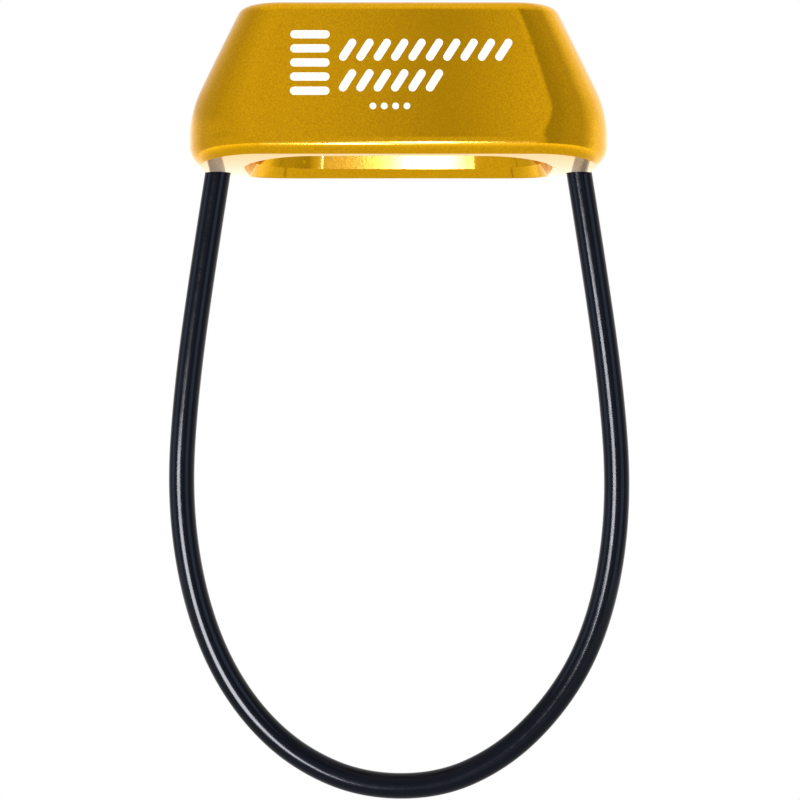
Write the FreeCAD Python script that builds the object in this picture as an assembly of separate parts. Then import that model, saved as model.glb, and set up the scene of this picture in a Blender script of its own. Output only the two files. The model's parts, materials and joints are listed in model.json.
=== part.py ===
import FreeCAD, Part

# Tube-style belay device: a forged aluminium body with two rope slots, and a keeper loop of
# plastic-jacketed wire rope whose ends are swaged into ferrules and pressed into the body.
# Millimetres. +Z is up, +X is to the right and the front face looks toward -Y. The origin is
# the middle of the body at the level of its front and back bottom rims, which bear on the
# carabiner, and the loop hangs below it.

import math
import os

Vec = FreeCAD.Vector

# Body, outside
BODY_WIDTH = 61.0
BODY_HEIGHT = 22.0
BOTTOM_DEPTH = 35.0
TOP_DEPTH = 28.0
END_SLOPE = 26.5  # degrees from upright, above the bend in each end
END_BEND_HEIGHT = 6.6  # where the upright and the sloped end would meet
END_BEND_RADIUS = 15.0
BOTTOM_CORNER_RADIUS = 11.5
TOP_CORNER_RADIUS = 7.0
TOP_RIM_RADIUS = 1.9
BOTTOM_RIM_RADIUS = 3.4  # the block's rounding, which the crowned underside then cuts short
UNDERSIDE_RADIUS = 140.0  # the underside is crowned from front to back
UNDERSIDE_DROP = 1.1  # how far its middle lies below its front and back rims
BLOCK_BASE = -1.4  # where the block starts, before the underside is shaped

# Body, inside
MOUTH_WIDTH = 44.8
MOUTH_DEPTH = 28.4
MOUTH_CORNER_RADIUS = 10.5
SLOTS_TOP_WIDTH = 32.8
SLOTS_TOP_DEPTH = 21.2
SLOTS_TOP_CORNER_RADIUS = 6.0
WEB_THICKNESS = 5.0
WEB_WALL_HEIGHT = 4.6  # underside of the web where it meets the front and back walls
WEB_ARCH_HEIGHT = 6.8  # underside of the web at its middle
WEB_CORNER_RADIUS = 3.5
WEB_EDGE_RADIUS = 2.2
SLOT_RIM_RADIUS = 1.3
MOUTH_RIM_RADIUS = 0.3
FLARE_HEIGHT = 1.1  # the front and back walls flare out over this much of the mouth
FLARE_SPREAD = 0.45  # how far each wall has flared at the level of the rims

# Keeper loop
JACKET_DIAMETER = 3.8
WIRE_DIAMETER = 2.4
SOCKET_DIAMETER = 3.9  # shallow counterbore that takes the end of the jacket
FERRULE_DIAMETER = 3.6
FERRULE_LENGTH = 8.0
BORE_SPARE = 0.5  # the bore is this much deeper than the ferrule
FLEX_HEIGHT = -7.0  # the loop bends about an axis along X at this height
FLEX_GAP = 0.3
ARC_SHARE = 0.45  # how much of the shorter run each arc of the route takes

# The loop's route in the XZ plane, from the floor of the left socket to that of the right one.
ROUTE = [
    (-26.5, 1.5),
    (-29.3, -16.0),
    (-31.7, -34.0),
    (-32.6, -48.5),
    (-31.1, -61.5),
    (-27.5, -72.8),
    (-21.9, -81.8),
    (-14.6, -88.4),
    (-5.2, -92.4),
    (6.1, -92.4),
    (15.3, -88.2),
    (22.6, -81.3),
    (28.1, -72.6),
    (31.5, -61.5),
    (32.8, -48.5),
    (31.8, -34.0),
    (29.3, -16.0),
    (26.5, 1.5),
]


def side_profile():
    """The right end of the body seen from the front, from the bottom to the top, as one edge."""
    slope = math.radians(END_SLOPE)
    setback = END_BEND_RADIUS * math.tan(slope / 2)
    half_width = BODY_WIDTH / 2
    foot = Vec(half_width, 0, BLOCK_BASE)
    bend_start = Vec(half_width, 0, END_BEND_HEIGHT - setback)
    bend_middle = bend_start + END_BEND_RADIUS * Vec(
        math.cos(slope / 2) - 1, 0, math.sin(slope / 2)
    )
    bend_end = bend_start + END_BEND_RADIUS * Vec(math.cos(slope) - 1, 0, math.sin(slope))
    top = Vec(half_width - (BODY_HEIGHT - END_BEND_HEIGHT) * math.tan(slope), 0, BODY_HEIGHT)
    curve = Part.LineSegment(foot, bend_start).toBSpline()
    bend = Part.Arc(bend_start, bend_middle, bend_end)
    curve.join(bend.toBSpline(bend.FirstParameter, bend.LastParameter))
    curve.join(Part.LineSegment(bend_end, top).toBSpline())
    return curve.toShape(), foot, top


def between(bottom, top, height):
    """A size that changes evenly from the bottom rim to the top, at any height."""
    return bottom + (top - bottom) * height / BODY_HEIGHT


def half_block():
    """The right half of the outer block: its end profile run front to back, cut by two faces."""
    end, foot, top = side_profile()
    outline = [
        end,
        Part.makeLine(top, Vec(0, 0, BODY_HEIGHT)),
        Part.makeLine(Vec(0, 0, BODY_HEIGHT), Vec(0, 0, BLOCK_BASE)),
        Part.makeLine(Vec(0, 0, BLOCK_BASE), foot),
    ]
    end_on = Part.Face(Part.Wire(outline))
    end_on.translate(Vec(0, -BOTTOM_DEPTH, 0))
    bar = end_on.extrude(Vec(0, 2 * BOTTOM_DEPTH, 0))
    base_y = between(BOTTOM_DEPTH, TOP_DEPTH, BLOCK_BASE) / 2
    section = [
        Vec(0, -base_y, BLOCK_BASE),
        Vec(0, base_y, BLOCK_BASE),
        Vec(0, TOP_DEPTH / 2, BODY_HEIGHT),
        Vec(0, -TOP_DEPTH / 2, BODY_HEIGHT),
    ]
    wedge = Part.Face(Part.makePolygon(section + section[:1]))
    return bar.common(wedge.extrude(Vec(BODY_WIDTH, 0, 0)))


def is_upright_corner(box):
    """Whether an edge of the half block stands between the end and the front or the back face."""
    return box.ZLength > BODY_HEIGHT / 2 and box.XMax > BODY_WIDTH / 4


def rounded_block():
    """The block with its four upright corners rounded and its underside crowned."""
    half = half_block()
    corners = edges_where(half, is_upright_corner)
    # these edges run downward, so the radius at the top comes first
    half = half.makeFillet(TOP_CORNER_RADIUS, BOTTOM_CORNER_RADIUS, corners)
    whole = half.fuse(half.mirror(Vec(0, 0, 0), Vec(1, 0, 0))).removeSplitter()
    rim = rim_edges(whole, BLOCK_BASE, BLOCK_BASE, False)
    whole = whole.makeFillet(BOTTOM_RIM_RADIUS, rim)
    crown_start = Vec(-BODY_WIDTH, 0, UNDERSIDE_RADIUS - UNDERSIDE_DROP)
    crown = Part.makeCylinder(UNDERSIDE_RADIUS, 2 * BODY_WIDTH, crown_start, Vec(1, 0, 0))
    return whole.common(crown)


def rounded_rectangle(half_width, half_depth, radius, height):
    """A closed wire in a level plane, with round corners."""
    inner_x = half_width - radius
    inner_y = half_depth - radius
    slant = radius * math.sqrt(0.5)
    edges = []
    # each corner's quadrant, walked counter-clockwise from the right-hand end of the front side
    for sign_x, sign_y, along_x in ((1, -1, True), (1, 1, False), (-1, 1, True), (-1, -1, False)):
        side_end = Vec(sign_x * inner_x, sign_y * half_depth, height)
        other_end = Vec(sign_x * half_width, sign_y * inner_y, height)
        start, finish = (side_end, other_end) if along_x else (other_end, side_end)
        middle = Vec(sign_x * (inner_x + slant), sign_y * (inner_y + slant), height)
        edges.append(Part.Arc(start, middle, finish).toShape())
    sides = []
    for arc, following in zip(edges, edges[1:] + edges[:1]):
        arc_end = arc.valueAt(arc.LastParameter)
        sides.append(Part.makeLine(arc_end, following.valueAt(following.FirstParameter)))
    return Part.Wire([edge for pair in zip(edges, sides) for edge in pair])


def tapered_hole(heights, spreads):
    """The space inside the walls between two heights, with its front and back spread outward."""
    sections = []
    for height, spread in zip(heights, spreads):
        sections.append(
            rounded_rectangle(
                between(MOUTH_WIDTH, SLOTS_TOP_WIDTH, height) / 2,
                between(MOUTH_DEPTH, SLOTS_TOP_DEPTH, height) / 2 + spread,
                between(MOUTH_CORNER_RADIUS, SLOTS_TOP_CORNER_RADIUS, height),
                height,
            )
        )
    return Part.makeLoft(sections, True, True)


def hollow():
    """The space inside the body's walls, which runs past both of its ends and flares below."""
    low = 2 * BLOCK_BASE
    low_spread = FLARE_SPREAD * (FLARE_HEIGHT - low) / FLARE_HEIGHT
    flare = tapered_hole((low, FLARE_HEIGHT), (low_spread, 0.0))
    return tapered_hole((FLARE_HEIGHT, BODY_HEIGHT + 1.0), (0.0, 0.0)).fuse(flare)


def web():
    """The wall between the two rope slots, with an arched underside set up inside the mouth."""
    reach = BOTTOM_DEPTH / 2
    left = -WEB_THICKNESS / 2
    wall_y = MOUTH_DEPTH / 2
    above = BODY_HEIGHT + 5.0
    arch = Part.Arc(
        Vec(left, -wall_y, WEB_WALL_HEIGHT),
        Vec(left, 0, WEB_ARCH_HEIGHT),
        Vec(left, wall_y, WEB_WALL_HEIGHT),
    )
    corners = [
        Vec(left, wall_y, WEB_WALL_HEIGHT),
        Vec(left, reach, WEB_WALL_HEIGHT),
        Vec(left, reach, above),
        Vec(left, -reach, above),
        Vec(left, -reach, WEB_WALL_HEIGHT),
        Vec(left, -wall_y, WEB_WALL_HEIGHT),
    ]
    straight = [Part.makeLine(start, finish) for start, finish in zip(corners, corners[1:])]
    outline = Part.Wire([arch.toShape()] + straight)
    return Part.Face(outline).extrude(Vec(WEB_THICKNESS, 0, 0))


def edges_where(shape, accept):
    """The shape's edges whose bounding box passes the given test."""
    return [edge for edge in shape.Edges if accept(edge.BoundBox)]


def rim_edges(shape, lowest, highest, around_hollow):
    """A rim's edges: those round the slots or the mouth, or those round the outside."""
    level_slack = 0.2
    reach_slack = 0.8
    reach_x = between(MOUTH_WIDTH, SLOTS_TOP_WIDTH, lowest) / 2 + reach_slack
    reach_y = between(MOUTH_DEPTH, SLOTS_TOP_DEPTH, lowest) / 2 + reach_slack

    def on_rim(box):
        level = box.ZMin > lowest - level_slack and box.ZMax < highest + level_slack
        inside = max(-box.XMin, box.XMax) < reach_x and max(-box.YMin, box.YMax) < reach_y
        return level and inside == around_hollow

    return edges_where(shape, on_rim)


def on_web_side(box):
    """Whether an edge lies on one of the two flat sides of the web."""
    slack = 0.05
    return box.XLength < slack and abs(abs(box.XMin) - WEB_THICKNESS / 2) < slack


def is_web_corner(box):
    """Whether an edge is where a side of the web runs up the front or the back wall."""
    return on_web_side(box) and box.ZLength > BODY_HEIGHT / 2 and box.YLength < MOUTH_DEPTH / 2


def is_web_underside(box):
    """Whether an edge runs along the arched underside of the web."""
    return on_web_side(box) and box.YLength > MOUTH_DEPTH / 2 and box.ZMax < BODY_HEIGHT / 2


def leg(side):
    """The cable's straight leg: the floor of its socket and its direction down out of the body."""
    start, following = (ROUTE[0], ROUTE[1]) if side < 0 else (ROUTE[-1], ROUTE[-2])
    floor = Vec(start[0], 0, start[1])
    direction = (Vec(following[0], 0, following[1]) - floor).normalize()
    return floor, direction


def flex_point(side):
    """Where a leg crosses the level at which the loop bends."""
    floor, direction = leg(side)
    return floor + direction * ((FLEX_HEIGHT - floor.z) / direction.z)


def cable_holes(side):
    """The socket for the jacket and, above it, the blind bore for the ferrule."""
    floor, direction = leg(side)
    well_below = 4 * JACKET_DIAMETER
    bore_depth = FERRULE_LENGTH + BORE_SPARE
    socket = Part.makeCylinder(SOCKET_DIAMETER / 2, well_below, floor, direction)
    bore = Part.makeCylinder(
        FERRULE_DIAMETER / 2, bore_depth + well_below, floor - direction * bore_depth, direction
    )
    return [socket, bore]


def device_body():
    """The aluminium body, with every rim rounded where rope or carabiner can rub."""
    shape = rounded_block().cut(hollow().cut(web()))
    shape = shape.makeFillet(WEB_CORNER_RADIUS, edges_where(shape, is_web_corner))
    shape = shape.makeFillet(WEB_EDGE_RADIUS, edges_where(shape, is_web_underside))
    shape = shape.makeFillet(TOP_RIM_RADIUS, rim_edges(shape, BODY_HEIGHT, BODY_HEIGHT, False))
    shape = shape.makeFillet(SLOT_RIM_RADIUS, rim_edges(shape, BODY_HEIGHT, BODY_HEIGHT, True))
    shape = shape.makeFillet(MOUTH_RIM_RADIUS, rim_edges(shape, -UNDERSIDE_DROP, 0.0, True))
    return shape.cut(cable_holes(-1) + cable_holes(1))


def sleeve(outer, inner, length, start, direction):
    """A straight tube."""
    outside = Part.makeCylinder(outer / 2, length, start, direction)
    return outside.cut(Part.makeCylinder(inner / 2, length, start, direction))


def ferrule(side):
    """The steel sleeve swaged on the end of the wire rope."""
    floor, direction = leg(side)
    return sleeve(FERRULE_DIAMETER, WIRE_DIAMETER, FERRULE_LENGTH, floor, direction * -1)


def stub_length(side):
    """How far the fixed end of the cable runs from its socket before the loop's rounded end."""
    floor, _ = leg(side)
    return (flex_point(side) - floor).Length - JACKET_DIAMETER / 2 - FLEX_GAP


def jacket_end(side):
    """The jacket of the cable's fixed end."""
    floor, direction = leg(side)
    return sleeve(JACKET_DIAMETER, WIRE_DIAMETER, stub_length(side), floor, direction)


def wire_end(side):
    """The wire rope of the cable's fixed end, with the length that the ferrule holds."""
    floor, direction = leg(side)
    start = floor - direction * FERRULE_LENGTH
    return Part.makeCylinder(WIRE_DIAMETER / 2, FERRULE_LENGTH + stub_length(side), start, direction)


def loop_points():
    """The route's points, cut back at both ends to where the loop bends."""
    inner = [Vec(x, 0, z) for x, z in ROUTE[1:-1]]
    return [flex_point(-1)] + inner + [flex_point(1)]


def loop_path():
    """Straight runs joined by tangent arcs, each as large as its two runs allow."""
    points = loop_points()
    edges = []
    radii = []
    reached = points[0]
    for before, corner, after in zip(points, points[1:], points[2:]):
        back = (before - corner).normalize()
        ahead = (after - corner).normalize()
        setback = ARC_SHARE * min((before - corner).Length, (after - corner).Length)
        half_turn = (math.pi - back.getAngle(ahead)) / 2
        radius = setback / math.tan(half_turn)
        to_centre = (back + ahead).normalize() * (radius / math.cos(half_turn))
        middle = corner + to_centre - to_centre.normalize() * radius
        arc = Part.Arc(corner + back * setback, middle, corner + ahead * setback)
        edges.append(Part.makeLine(reached, corner + back * setback))
        edges.append(arc.toShape())
        reached = corner + ahead * setback
        radii.append(radius)
    edges.append(Part.makeLine(reached, points[-1]))
    return Part.Wire(edges), radii


def along(path, diameter):
    """A solid round rod along a path."""
    first = path.Edges[0]
    start = first.valueAt(first.FirstParameter)
    circle = Part.makeCircle(diameter / 2, start, first.tangentAt(first.FirstParameter))
    return path.makePipeShell([Part.Wire(circle)], True, False)


def jacket_loop(path):
    """The jacket of the loop, closed at both ends by a half ball about the bending point."""
    ends = []
    for side in (-1, 1):
        _, direction = leg(side)
        ball = Part.makeSphere(JACKET_DIAMETER / 2, flex_point(side), direction * -1, 0, 90, 360)
        ends.append(ball)
    outside = along(path, JACKET_DIAMETER)
    return outside.cut(along(path, WIRE_DIAMETER)).fuse(ends).removeSplitter()


def report_loop(path, radii):
    """Print what the cable's route and its rods measure."""
    print("smallest bend radius %.1f, in cable diameters %.1f" % (min(radii), min(radii) / JACKET_DIAMETER))
    print("bend radii", " ".join("%.1f" % radius for radius in radii))
    for name, diameter in (("jacket", JACKET_DIAMETER), ("wire", WIRE_DIAMETER)):
        expected = math.pi * diameter**2 / 4 * path.Length
        print("%s rod volume %.2f, section times length %.2f" % (name, along(path, diameter).Volume, expected))
    print("loop length %.1f" % path.Length)


def main():
    """Write one STEP file for each piece."""
    path, radii = loop_path()
    report_loop(path, radii)
    pieces = {
        "device_body": device_body(),
        "jacket_loop": jacket_loop(path),
        "wire_loop": along(path, WIRE_DIAMETER),
    }
    for side, side_name in ((-1, "left"), (1, "right")):
        pieces["ferrule_" + side_name] = ferrule(side)
        pieces["jacket_end_" + side_name] = jacket_end(side)
        pieces["wire_end_" + side_name] = wire_end(side)
    os.makedirs("parts", exist_ok=True)
    for name, shape in pieces.items():
        solids = len(shape.Solids)
        print("%s: valid %s, solids %d, volume %.1f" % (name, shape.isValid(), solids, shape.Volume))
        shape.exportStep("parts/%s.step" % name)


main()
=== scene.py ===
import json
import math

import bmesh
import bpy
from mathutils import Euler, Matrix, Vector


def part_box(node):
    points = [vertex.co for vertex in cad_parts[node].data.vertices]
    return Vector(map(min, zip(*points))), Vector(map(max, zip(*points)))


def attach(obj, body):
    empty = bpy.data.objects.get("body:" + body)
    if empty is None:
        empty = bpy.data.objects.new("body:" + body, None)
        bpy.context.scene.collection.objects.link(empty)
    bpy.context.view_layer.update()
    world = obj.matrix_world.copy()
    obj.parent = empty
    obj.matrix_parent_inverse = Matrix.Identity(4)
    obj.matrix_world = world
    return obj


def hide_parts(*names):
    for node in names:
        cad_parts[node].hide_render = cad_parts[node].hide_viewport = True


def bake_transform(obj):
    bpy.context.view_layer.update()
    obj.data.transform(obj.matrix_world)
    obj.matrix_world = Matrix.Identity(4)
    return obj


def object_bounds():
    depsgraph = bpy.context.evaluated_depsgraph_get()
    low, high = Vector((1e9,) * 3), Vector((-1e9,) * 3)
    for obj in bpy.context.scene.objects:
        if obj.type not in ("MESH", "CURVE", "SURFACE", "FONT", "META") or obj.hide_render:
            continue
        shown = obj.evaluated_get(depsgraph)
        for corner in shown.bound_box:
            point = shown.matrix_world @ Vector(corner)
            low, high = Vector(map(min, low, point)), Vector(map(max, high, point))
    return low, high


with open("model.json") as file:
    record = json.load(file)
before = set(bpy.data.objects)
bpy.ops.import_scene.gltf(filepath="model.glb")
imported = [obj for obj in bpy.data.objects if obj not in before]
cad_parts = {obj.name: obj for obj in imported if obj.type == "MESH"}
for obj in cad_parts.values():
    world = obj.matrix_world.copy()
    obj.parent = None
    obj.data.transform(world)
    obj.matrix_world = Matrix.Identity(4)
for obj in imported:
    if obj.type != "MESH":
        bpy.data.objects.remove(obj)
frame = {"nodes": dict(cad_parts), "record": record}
cad_low, cad_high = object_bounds()
MOUNTS = {mount["name"]: mount for mount in frame["record"]["mounts"]}

# The keeper loop's route in the XZ plane, in metres, from the left socket to the right one.
ROUTE = [
    (-0.0265, 0.0015),
    (-0.0293, -0.0160),
    (-0.0317, -0.0340),
    (-0.0326, -0.0485),
    (-0.0311, -0.0615),
    (-0.0275, -0.0728),
    (-0.0219, -0.0818),
    (-0.0146, -0.0884),
    (-0.0052, -0.0924),
    (0.0061, -0.0924),
    (0.0153, -0.0882),
    (0.0226, -0.0813),
    (0.0281, -0.0726),
    (0.0315, -0.0615),
    (0.0328, -0.0485),
    (0.0318, -0.0340),
    (0.0293, -0.0160),
    (0.0265, 0.0015),
]
JACKET_DIAMETER = 0.0038
WIRE_NODES = ("wire_end_left", "wire_loop", "wire_end_right")
JACKET_SIDES = 32
ROUTE_STEPS = 30  # points that the spline gives for each stretch of the route

CAMERA_PLACE = (0.00022, -0.310, -0.0349)
CAMERA_LENS = 93.6
SENSOR_WIDTH = 36.0
FLOOR_DROP = 0.25  # below the lowest point of the loop
FLOOR_RADIUS = 1.2
# Painted glow of the floor: its emission strength by distance from its middle, in metres, stronger
# toward the edge.
FLOOR_GLOW = {"From Min": 0.35, "From Max": 1.0, "To Min": 0.30, "To Max": 0.85}

# The mark on the front: places are X and height, and sizes are length and width, in metres.
MARK_PROUD = 0.00002
BAR_COUNT = 5
BAR_PLACE = (-0.01255, 0.0088)
BAR_PITCH = 0.00205
BAR_SIZE = (0.0056, 0.0012)
TWIST_ROWS = ((0.01475, 10), (0.01030, 6))  # each row's height and number of strands
TWIST_START = -0.0072
TWIST_PITCH = 0.00246
TWIST_SIZE = (0.0036, 0.00115)
TWIST_LEAN = 32  # degrees
DOT_COUNT = 4
DOT_PLACE = (-0.0036, 0.0066)
DOT_PITCH = 0.0016
DOT_RADIUS = 0.00048
DOT_SIDES = 28


# Scene set-up


def make_camera():
    """A long lens, level with the middle of the whole object."""
    data = bpy.data.cameras.new("camera")
    data.lens = CAMERA_LENS
    data.sensor_width = SENSOR_WIDTH
    camera = bpy.data.objects.new("camera", data)
    camera.location = CAMERA_PLACE
    camera.rotation_euler = Euler((math.radians(90), 0, 0))
    bpy.context.collection.objects.link(camera)
    bpy.context.scene.camera = camera


def add_mesh(name, bm):
    """A linked mesh object made from a bmesh."""
    bmesh.ops.recalc_face_normals(bm, faces=bm.faces)
    mesh = bpy.data.meshes.new(name)
    bm.to_mesh(mesh)
    bm.free()
    piece = bpy.data.objects.new(name, mesh)
    bpy.context.collection.objects.link(piece)
    return piece


# Shader helpers


class Shader:
    """A node tree with short calls for adding and joining nodes."""

    def __init__(self, tree):
        self.tree = tree
        self.tree.nodes.clear()

    def node(self, kind, values=None, **settings):
        """Add a node, set its properties, then set or link its inputs."""
        added = self.tree.nodes.new(kind)
        for key, value in settings.items():
            setattr(added, key, value)
        self.feed_all(added, values or {})
        return added

    def feed(self, socket, value):
        """Link another node's output to an input, or set the input to a plain value."""
        if isinstance(value, bpy.types.NodeSocket):
            self.tree.links.new(value, socket)
        else:
            socket.default_value = value

    def feed_all(self, node, values):
        """Set or link several inputs of a node."""
        for key, value in values.items():
            self.feed(node.inputs[key], value)

    def noise(self, place, scale, detail=2.0, roughness=0.5):
        """Noise of one scale, as a value."""
        values = {"Vector": place, "Scale": scale, "Detail": detail, "Roughness": roughness}
        return self.node("ShaderNodeTexNoise", values).outputs["Fac"]

    def spread(self, value, low, high):
        """Noise, which stays near its middle, spread between two values."""
        ends = {"Value": value, "From Min": 0.3, "From Max": 0.7, "To Min": low, "To Max": high}
        return self.node("ShaderNodeMapRange", ends).outputs["Result"]

    def blend(self, amount, first, second):
        """Two colours mixed by an amount."""
        mix = self.node("ShaderNodeMix", {"Factor": amount}, data_type="RGBA")
        for name, value in (("A", first), ("B", second)):
            self.feed(next(s for s in mix.inputs if s.name == name and s.type == "RGBA"), value)
        return next(s for s in mix.outputs if s.type == "RGBA")

    def math(self, operation, first, second=0.0):
        """One arithmetic step."""
        return self.node("ShaderNodeMath", {0: first, 1: second}, operation=operation).outputs[0]

    def bump(self, height, distance, strength=1.0, under=None):
        """A bump in metres, over another one if given."""
        values = {"Height": height, "Distance": distance, "Strength": strength}
        if under is not None:
            values["Normal"] = under
        return self.node("ShaderNodeBump", values).outputs["Normal"]


def new_material(name):
    """A material with its node tree, its Principled shader and object coordinates."""
    material = bpy.data.materials.new(name)
    material.use_nodes = True
    shader = Shader(material.node_tree)
    principled = shader.node("ShaderNodeBsdfPrincipled")
    shader.node("ShaderNodeOutputMaterial", {"Surface": principled.outputs["BSDF"]})
    place = shader.node("ShaderNodeTexCoord").outputs["Object"]
    return material, shader, principled, place


# Materials


def anodised_gold():
    """Gold-dyed anodising over finely blasted aluminium."""
    material, shader, principled, place = new_material("anodised_gold")
    grain = shader.noise(place, scale=3600.0, detail=3.0, roughness=0.6)
    ripple = shader.noise(place, scale=260.0)
    cloud = shader.noise(place, scale=45.0, detail=3.0)
    dye = shader.blend(
        shader.spread(cloud, 0.0, 1.0), (0.80, 0.42, 0.001, 1.0), (0.855, 0.456, 0.001, 1.0)
    )
    colour = shader.blend(shader.spread(grain, 0.0, 0.8), dye, (0.62, 0.28, 0.001, 1.0))
    normal = shader.bump(ripple, distance=0.00001, strength=0.35)
    normal = shader.bump(grain, distance=0.00003, strength=0.09, under=normal)
    shader.feed_all(principled, {
        "Base Color": colour,
        "Metallic": 1.0,
        "Roughness": shader.spread(grain, 0.06, 0.11),
        "Coat Weight": 0.10,
        "Coat Roughness": 0.08,
        "Normal": normal,
    })
    return material


def jacket_plastic():
    """Blue-black extruded plastic with a glossy skin."""
    material, shader, principled, place = new_material("jacket_plastic")
    cloud = shader.noise(place, scale=120.0, detail=3.0)
    skin = shader.noise(place, scale=900.0)
    grain = shader.noise(place, scale=6000.0)
    colour = shader.blend(
        shader.spread(cloud, 0.0, 1.0), (0.0002, 0.0005, 0.0014, 1.0), (0.0004, 0.0008, 0.0020, 1.0)
    )
    normal = shader.bump(skin, distance=0.000012, strength=0.16)
    normal = shader.bump(grain, distance=0.000004, strength=0.25, under=normal)
    shader.feed_all(principled, {
        "Base Color": colour,
        "Roughness": shader.spread(skin, 0.13, 0.18),
        "IOR": 1.22,
        "Normal": normal,
    })
    return material


def metal(name, first, second, roughness, streak):
    """Bare metal, drawn or swaged, with fine marks of one scale."""
    material, shader, principled, place = new_material(name)
    marks = shader.noise(place, scale=streak, detail=3.0)
    shader.feed_all(principled, {
        "Base Color": shader.blend(shader.spread(marks, 0.0, 1.0), first, second),
        "Metallic": 1.0,
        "Roughness": shader.spread(marks, roughness, roughness + 0.12),
        "Normal": shader.bump(marks, distance=0.00001, strength=0.4),
    })
    return material


def laser_white():
    """The matt white that a laser leaves in anodising."""
    material, shader, principled, place = new_material("laser_white")
    grain = shader.noise(place, scale=5200.0, detail=3.0, roughness=0.6)
    shader.feed_all(principled, {
        "Base Color": shader.blend(
            shader.spread(grain, 0.0, 1.0), (0.93, 0.90, 0.82, 1.0), (0.82, 0.78, 0.68, 1.0)
        ),
        "Roughness": 0.55,
        "Normal": shader.bump(grain, distance=0.00002, strength=0.3),
    })
    return material


def dress(piece, material):
    """Give a whole piece one material."""
    piece.data.materials.clear()
    piece.data.materials.append(material)


# Keeper loop


def centreline():
    """The points that a NURBS spline through the route's control points gives."""
    curve = bpy.data.curves.new("keeper_route", "CURVE")
    curve.dimensions = "3D"
    spline = curve.splines.new("NURBS")
    spline.points.add(len(ROUTE) - 1)
    for point, (x, z) in zip(spline.points, ROUTE):
        point.co = (x, 0.0, z, 1.0)
    spline.order_u = 3
    spline.use_endpoint_u = True
    spline.resolution_u = ROUTE_STEPS
    holder = bpy.data.objects.new("keeper_route", curve)
    line = bpy.data.meshes.new_from_object(holder)
    points = [vertex.co.copy() for vertex in line.vertices]
    bpy.data.meshes.remove(line)
    bpy.data.objects.remove(holder)
    bpy.data.curves.remove(curve)
    return points


def ring(bm, point, tangent, radius):
    """A circle of vertices round a point of the centreline."""
    across = Vector((0, 1, 0))
    outward = across.cross(tangent).normalized()
    vertices = []
    for side in range(JACKET_SIDES):
        angle = 2 * math.pi * side / JACKET_SIDES
        offset = outward * math.cos(angle) + across * math.sin(angle)
        vertices.append(bm.verts.new(point + offset * radius))
    return vertices


def make_jacket():
    """The whole jacket as one smooth tube, from socket to socket."""
    points = centreline()
    bm = bmesh.new()
    rings = []
    for index, point in enumerate(points):
        before = points[max(index - 1, 0)]
        after = points[min(index + 1, len(points) - 1)]
        rings.append(ring(bm, point, (after - before).normalized(), JACKET_DIAMETER / 2))
    for lower, upper in zip(rings, rings[1:]):
        for side in range(JACKET_SIDES):
            following = (side + 1) % JACKET_SIDES
            bm.faces.new((lower[side], lower[following], upper[following], upper[side]))
    bm.faces.new(rings[0])
    bm.faces.new(rings[-1])
    jacket = add_mesh("keeper_jacket", bm)
    for face in jacket.data.polygons:
        face.use_smooth = len(face.vertices) == 4
    dress(jacket, jacket_plastic())
    jacket.visible_glossy = False  # the body mirrors the wire inside it instead
    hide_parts("jacket_loop", "jacket_end_left", "jacket_end_right")
    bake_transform(jacket)


# Mark on the front


class FrontPlane:
    """Builds thin solid shapes on the body's tilted front, from places along X and heights Z."""

    def __init__(self, bm):
        self.bm = bm
        self.point = Vector(MOUNTS["front_face"]["pos_m"])
        self.normal = Vector(MOUNTS["front_face"]["axis"])
        self.up = self.normal.cross(Vector((1, 0, 0))).normalized()
        if self.up.z < 0:
            self.up.negate()

    def place(self, x, height, proud):
        """The point of the front that is at this X and this height along it, set out or in."""
        climb = (height - self.point.z) / self.up.z
        return Vector((x, self.point.y, self.point.z)) + self.up * climb + self.normal * proud

    def prism(self, outline):
        """A thin solid with the given outline, half sunk in the face."""
        bottom = [self.bm.verts.new(self.place(x, z, -MARK_PROUD)) for x, z in outline]
        top = [self.bm.verts.new(self.place(x, z, MARK_PROUD)) for x, z in outline]
        self.bm.faces.new(bottom)
        self.bm.faces.new(top)
        for index in range(len(outline)):
            following = (index + 1) % len(outline)
            corners = (bottom[index], bottom[following], top[following], top[index])
            self.bm.faces.new(corners)


def circle(x, z, radius, steps):
    """The points of a circle."""
    turns = [2 * math.pi * step / steps for step in range(steps)]
    return [(x + radius * math.cos(turn), z + radius * math.sin(turn)) for turn in turns]


def capsule(x, z, length, width, lean, steps=10):
    """The outline of a leaning bar with round ends."""
    reach = (length - width) / 2
    points = []
    for end, first_turn in ((1, 0.0), (-1, math.pi)):
        centre = (x + end * reach * math.sin(lean), z + end * reach * math.cos(lean))
        for step in range(steps + 1):
            turn = first_turn + math.pi * step / steps - lean
            points.append(
                (centre[0] + width / 2 * math.cos(turn), centre[1] + width / 2 * math.sin(turn))
            )
    return points


def make_mark():
    """A plain ornament: a stack of bars, two rows of rope twist and a row of dots."""
    bm = bmesh.new()
    front = FrontPlane(bm)
    for index in range(BAR_COUNT):
        height = BAR_PLACE[1] + BAR_PITCH * index
        front.prism(capsule(BAR_PLACE[0], height, *BAR_SIZE, math.radians(90)))
    for height, count in TWIST_ROWS:
        for index in range(count):
            x = TWIST_START + TWIST_PITCH * index
            front.prism(capsule(x, height, *TWIST_SIZE, math.radians(TWIST_LEAN)))
    for index in range(DOT_COUNT):
        x = DOT_PLACE[0] + DOT_PITCH * index
        front.prism(circle(x, DOT_PLACE[1], DOT_RADIUS, DOT_SIDES))
    mark = add_mesh("front_mark", bm)
    dress(mark, laser_white())
    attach(mark, "body")


# Light


def direction(azimuth, elevation):
    """A unit vector. Azimuth 0 is toward the front, and 90 toward +X."""
    turn = math.radians(azimuth)
    rise = math.radians(elevation)
    return Vector(
        (math.sin(turn) * math.cos(rise), -math.cos(turn) * math.cos(rise), math.sin(rise))
    )


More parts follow.
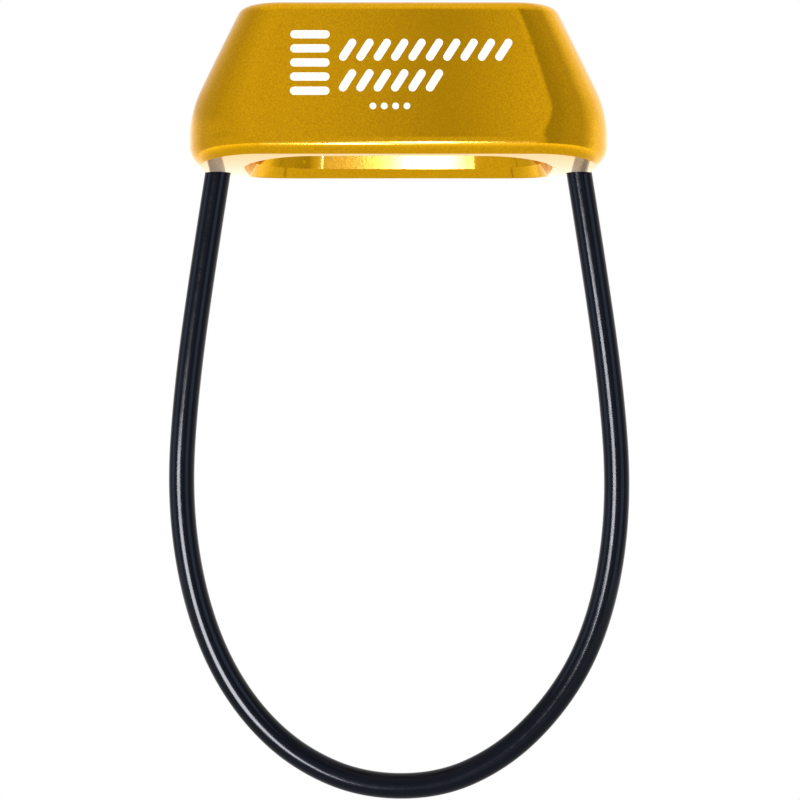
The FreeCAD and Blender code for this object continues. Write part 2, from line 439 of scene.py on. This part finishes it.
# How bright the surroundings are by azimuth, in degrees: at face height and just above it.
LEVEL_LIGHT = [
    (-180, 1.40),
    (-150, 1.34),
    (-128, 1.05),
    (-105, 0.72),
    (13, 0.78),
    (22, 0.46),
    (32, 0.46),
    (58, 0.55),
    (78, 0.57),
    (90, 0.74),
    (106, 1.20),
    (150, 1.38),
    (180, 1.40),
]
RAISED_LIGHT = [
    (-180, 1.05),
    (-134, 0.84),
    (-105, 0.64),
    (-81, 0.60),
    (-53, 0.70),
    (-20, 0.80),
    (-3.4, 0.78),
    (-1.3, 0.71),
    (0.6, 0.58),
    (1.7, 0.40),
    (2.7, 0.60),
    (3.4, 0.84),
    (13, 0.79),
    (19, 0.44),
    (32, 0.46),
    (58, 0.55),
    (78, 0.57),
    (102, 1.00),
    (131, 1.32),
    (180, 1.05),
]
OVERHEAD_LIGHT = 0.98
BRIGHTEST = 1.5  # the light that a ramp's white stands for
RAISED_FROM = (8, 16)  # elevations in degrees where the level light gives way to the raised one
OVERHEAD_FROM = (42, 66)
COOL = (0.60, 0.80, 1.15)
WHITE = (1.0, 1.0, 1.0)
CRISP = (1.0, 1.1, 24.0)
LAVENDER = (0.95, 0.98, 1.08)
# Name, lit piece, azimuth, elevation, distance, width, height, radiance and tint of each box.
SOFT_BOXES = [
    ("low_front", "device_body", 1.0, -14, 1.2, 0.03, 0.15, 22.0, CRISP),
    ("rim_light", "device_body", -1.85, -20.5, 0.9, 0.026, 0.09, 22.0, CRISP),
    ("mark_light", "front_mark", -35, 62, 1.2, 0.60, 0.60, 14.0, WHITE),
    ("strip", "keeper_jacket", -25, -4.2, 1.2, 0.52, 0.065, 80.0, LAVENDER),
    ("low_strip", "keeper_jacket", -22, -22.2, 0.57, 0.25, 0.25, 58.0, LAVENDER),
    ("left_side", "keeper_jacket", -76, 0, 1.2, 0.60, 1.20, 1.8, COOL),
    ("right_side", "keeper_jacket", 49, 0, 1.2, 0.60, 1.20, 2.3, COOL),
]


def ramp(shader, azimuth, stops):
    """Light by azimuth, in straight runs between the stops."""
    node = shader.node("ShaderNodeValToRGB", {"Fac": azimuth})
    elements = node.color_ramp.elements
    elements.remove(elements[1])
    for index, (degrees, light) in enumerate(stops):
        place = degrees / 360 + 0.5
        element = elements[0] if index == 0 else elements.new(place)
        element.position = place
        element.color = (light / BRIGHTEST,) * 3 + (1.0,)
    return shader.math("MULTIPLY", node.outputs["Color"], BRIGHTEST)


def studio_world():
    """Pale surroundings whose brighter and darker parts give the metal its contrast."""
    world = bpy.data.worlds.new("studio")
    bpy.context.scene.world = world
    world.use_nodes = True
    shader = Shader(world.node_tree)
    toward = shader.node("ShaderNodeTexCoord").outputs["Generated"]
    parts = shader.node("ShaderNodeSeparateXYZ", {0: toward}).outputs
    turn = shader.math("ARCTAN2", parts["X"], shader.math("MULTIPLY", parts["Y"], -1.0))
    azimuth = shader.math("ADD", shader.math("DIVIDE", turn, 2 * math.pi), 0.5)

    def climb(below, above, elevations):
        """One light giving way to another between two elevations."""
        ends = {
            "Value": parts["Z"],
            "From Min": math.sin(math.radians(elevations[0])),
            "From Max": math.sin(math.radians(elevations[1])),
            "To Min": below,
            "To Max": above,
        }
        mixed = shader.node("ShaderNodeMapRange", ends, interpolation_type="SMOOTHSTEP")
        return mixed.outputs["Result"]

    level = ramp(shader, azimuth, LEVEL_LIGHT)
    light = climb(level, ramp(shader, azimuth, RAISED_LIGHT), RAISED_FROM)
    light = climb(light, OVERHEAD_LIGHT, OVERHEAD_FROM)
    around = shader.node("ShaderNodeBackground", {"Color": (1, 1, 1, 1), "Strength": light})
    behind = shader.node("ShaderNodeBackground", {"Color": (1, 1, 1, 1), "Strength": 1.0})
    seen = shader.node("ShaderNodeLightPath").outputs["Is Camera Ray"]
    mixed = shader.node(
        "ShaderNodeMixShader", {0: seen, 1: around.outputs[0], 2: behind.outputs[0]}
    )
    shader.node("ShaderNodeOutputWorld", {"Surface": mixed.outputs[0]})


def make_lights():
    """The soft boxes, each facing the middle of the body and lighting one piece."""
    low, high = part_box("device_body")
    target = (Vector(low) + Vector(high)) / 2
    for name, lit, azimuth, elevation, distance, width, height, radiance, tint in SOFT_BOXES:
        data = bpy.data.lights.new(name, "AREA")
        data.shape = "RECTANGLE"
        data.size = width
        data.size_y = height
        data.energy = radiance * math.pi * width * height
        data.color = tint
        box = bpy.data.objects.new(name, data)
        away = direction(azimuth, elevation)
        box.location = target + away * distance
        box.rotation_euler = away.to_track_quat("Z", "Y").to_euler()
        box.visible_camera = False
        bpy.context.collection.objects.link(box)
        pieces = bpy.data.collections.new(name + "_lights")
        pieces.objects.link(frame["nodes"].get(lit) or bpy.data.objects[lit])
        box.light_linking.receiver_collection = pieces


def make_floor():
    """A plain pale floor, well below the loop, with a painted glow: it emits light of its own, more
    toward its edge.
    """
    bm = bmesh.new()
    bmesh.ops.create_circle(bm, cap_ends=True, radius=FLOOR_RADIUS, segments=96)
    floor = add_mesh("floor", bm)
    floor.location.z = cad_low[2] - FLOOR_DROP
    material, shader, principled, place = new_material("floor_paper")
    reach = shader.node("ShaderNodeVectorMath", {0: place}, operation="LENGTH").outputs["Value"]
    ends = {"Value": reach, **FLOOR_GLOW}
    glow = shader.node("ShaderNodeMapRange", ends, interpolation_type="SMOOTHSTEP")
    shader.feed_all(principled, {
        "Base Color": (0.55, 0.55, 0.55, 1.0),
        "Roughness": 0.9,
        # Painted glow: the floor emits light of its own, weaker in the middle and stronger toward
        # the edge.
        "Emission Color": (1.0, 1.0, 1.0, 1.0),
        "Emission Strength": glow.outputs["Result"],
    })
    dress(floor, material)


make_camera()
make_jacket()
dress(frame["nodes"]["device_body"], anodised_gold())
swaged = metal("swaged_steel", (0.52, 0.52, 0.50, 1.0), (0.62, 0.61, 0.59, 1.0), 0.25, 1500.0)
drawn = metal("drawn_wire", (0.45, 0.45, 0.46, 1.0), (0.58, 0.58, 0.58, 1.0), 0.20, 2500.0)
for node_name in ("ferrule_left", "ferrule_right"):
    dress(frame["nodes"][node_name], swaged)
for node_name in WIRE_NODES:
    dress(frame["nodes"][node_name], drawn)
make_mark()
studio_world()
make_lights()
make_floor()
bpy.context.scene.view_settings.view_transform = "Standard"
